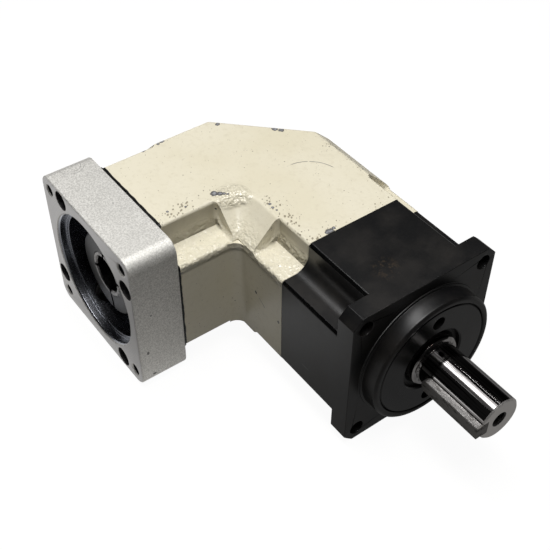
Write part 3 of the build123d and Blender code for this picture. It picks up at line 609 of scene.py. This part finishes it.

# Input shaft and the turned steel inside.
# Hollow shaft, bearing rings, spacers and pins, all hardened and ground, with a fine grain and a
# thin film of oil. Only the shaft's mouth shows from outside, and its copy of the steel is painted
# darker, as shade deep in the bore.


def ground_steel(name, light, dark, grain_mm, roughness, metallic=1.0):
    f = Finish(name)
    grain = f.noise(grain_mm, 3, 0.6)
    colour = f.blend(grain.rise(0.3, 0.75), light, dark)
    film = f.noise(6, 3).rise(0.5, 0.8) * 0.3
    colour = f.blend(film, colour, (0.22, 0.17, 0.10, 1))
    rough = roughness + grain * 0.12
    return f.surface(grain, 0.004, Base_Color=colour, Roughness=rough, Metallic=metallic)


# A darker copy of the ground steel: painted shade for the mouth deep in the bore.
mouth = ground_steel("painted_shade_mouth_steel", (0.26, 0.25, 0.245, 1), (0.07, 0.068, 0.066, 1), 0.5, 0.24)
dress("input_shaft", mouth)
ground = ground_steel("ground_steel", (0.55, 0.54, 0.53, 1), (0.38, 0.37, 0.36, 1), 0.5, 0.22)
for name in (
    "input_bearing_inner_rings", "input_bearing_outer_rings", "input_bearing_spacer",
    "sun_bearing_inner_rings", "sun_bearing_outer_rings", "sun_bearing_spacer",
    "output_front_bearing_inner", "output_front_bearing_outer",
    "output_rear_bearing_inner", "output_rear_bearing_outer", "planet_pins",
):
    dress(name, ground)

# Balls and needles.
# Bearing steel, lapped to a mirror.
lapped = ground_steel("bearing_steel", (0.62, 0.62, 0.63, 1), (0.55, 0.55, 0.56, 1), 1.5, 0.05)
for name in (
    "input_bearing_balls", "sun_bearing_balls", "output_front_bearing_balls",
    "output_rear_bearing_balls", "needle_rollers_1", "needle_rollers_2", "needle_rollers_3",
):
    dress(name, lapped)

# Gears.
# Case-hardened steel with cut and ground teeth, wet with oil. The flanks are smooth and the rest
# is grey from the furnace.
geared = ground_steel("gear_steel", (0.36, 0.355, 0.35, 1), (0.22, 0.215, 0.21, 1), 0.4, 0.28)
for name in ("ring_gear", "bevel_pinion", "bevel_gear", "sun_shaft",
             "planet_gear_1", "planet_gear_2", "planet_gear_3"):
    dress(name, geared)

# Retaining ring.
# Stamped spring steel, phosphated dark, sprung into the groove behind the input bearings.
sprung = ground_steel("spring_steel", (0.10, 0.10, 0.10, 1), (0.06, 0.06, 0.06, 1), 0.4, 0.4, 0.6)
dress("input_snap_ring", sprung)

# Floor.
# A studio table, white to the camera and a plain dark grey to the lamps, so that the part keeps
# its shadow and its sides stay dark. It lies a hair under the part.
FLOOR_SIZE = 6.0
FLOOR_MIDDLE_X = -0.06
FLOOR_GAP = 0.0002

floor_place = (FLOOR_MIDDLE_X, 0, cad_box[0][2] - FLOOR_GAP)
bpy.ops.mesh.primitive_plane_add(size=FLOOR_SIZE, location=floor_place)
floor = bpy.context.object
floor.name = "floor"


def pale_table():
    f = Finish("pale_table")
    straight, glossy, through = [
        f.node("ShaderNodeLightPath", out=ray)
        for ray in ("Is Camera Ray", "Is Glossy Ray", "Is Transmission Ray")
    ]
    # Reflections see painted light and shade on it: pale towards the motor's side, dim towards the
    # output shaft, and darker again round the plate's front corner on the output shaft's side.
    down = 0.0 - f.y
    lit = (down - f.x * 0.8).rise(5.0, 95.0) * 0.80 + 0.17
    lit = lit * (1.0 - down.rise(65.0, 95.0) * f.x.rise(-75.0, -45.0) * 0.75)
    seen = straight.most(glossy * lit).most(through)
    matt = f.node("ShaderNodeBsdfDiffuse", {}, {"Color": (0.07, 0.068, 0.065, 1)})
    white = f.node("ShaderNodeEmission", {}, {"Color": (1, 1, 1, 1), "Strength": 0.95})
    both = f.node("ShaderNodeAddShader", {}, {0: matt, 1: white})
    shader = f.node("ShaderNodeMixShader", {}, {0: seen, 1: matt, 2: both})
    f.node("ShaderNodeOutputMaterial", {}, {"Surface": shader})
    return f.material


floor.data.materials.append(pale_table())

# Studio light.
# A ceiling fixture in a dim room: five long tubes, with a faint panel behind them and a broad one
# high above. Tops are bright and walls dark, and polished steel shows each tube as a streak.

# Places and sizes in metres, then watts. Every lamp points straight down.
LAMPS = (
    ("near_tube", (-0.06, -0.175, 0.62), (0.62, 0.030), 0.35),
    ("wide_tube", (-0.06, -0.100, 0.62), (0.62, 0.080), 1.54),
    ("middle_tube", (-0.06, -0.020, 0.62), (0.62, 0.050), 1.06),
    ("thin_tube", (-0.06, 0.055, 0.62), (0.62, 0.012), 0.25),
    ("far_tube", (-0.05, 0.230, 0.62), (0.40, 0.012), 0.26),
    ("dim_panel", (-0.02, -0.180, 0.63), (0.62, 0.42), 0.50),
    ("high_panel", (-0.02, 0.0, 1.10), (0.90, 0.30), 3.0),
)

for name, place, size, watts in LAMPS:
    light = bpy.data.lights.new(name, "AREA")
    light.shape = "RECTANGLE"
    light.size, light.size_y = size
    light.energy = watts
    lamp = bpy.data.objects.new(name, light)
    lamp.location = place
    bpy.context.scene.collection.objects.link(lamp)


class Room(Finish):
    """The light of the room itself, written like a finish."""

    def __init__(self, name):
        self.world = bpy.data.worlds.new(name)
        self.world.use_nodes = True
        self.tree = self.world.node_tree
        self.tree.nodes.clear()

    def glow(self, colour, strength):
        return self.node("ShaderNodeBackground", {}, {"Color": colour, "Strength": strength})

    def by_ray(self, ray, other, this):
        share = self.node("ShaderNodeLightPath", out=ray)
        return self.node("ShaderNodeMixShader", {}, {0: share, 1: other, 2: this})


# White to the camera, nearly black in reflections, and dim and warm for the rest.
room = Room("room")
warm = room.glow((1.0, 0.98, 0.95, 1), 0.035)
mirrored = room.glow((0.8, 0.8, 0.8, 1), 0.012)
white = room.glow((1, 1, 1, 1), 1.0)
unseen = room.by_ray("Is Glossy Ray", warm, mirrored)
shown = room.by_ray("Is Camera Ray", unseen, white)
room.node("ShaderNodeOutputWorld", {}, {"Surface": shown})
bpy.context.scene.world = room.world

bpy.context.scene.view_settings.view_transform = "Standard"

# Camera.
# It looks down from above the open side of the elbow. Its three directions and its place, in
# metres, were fitted to the part's own edges.
PHOTO_PX = 550
FOCAL_PX = 982.2
SENSOR_MM = 36.0
RIGHT = Vector((0.5937, 0.8047, 0.0041))
UP = Vector((-0.5677, 0.4152, 0.7109))
FORWARD = Vector((-0.5703, 0.4244, -0.7033))
PLACE = (0.1440, -0.1667, 0.2458)

lens = bpy.data.cameras.new("camera")
lens.sensor_width = SENSOR_MM
lens.lens = FOCAL_PX / PHOTO_PX * SENSOR_MM
lens.clip_start = 0.01
camera = bpy.data.objects.new("camera", lens)
bpy.context.scene.collection.objects.link(camera)
turn = Matrix((RIGHT, UP, -FORWARD)).transposed().to_4x4()
camera.matrix_world = Matrix.Translation(PLACE) @ turn
bpy.context.scene.camera = camera

bpy.context.view_layer.update()
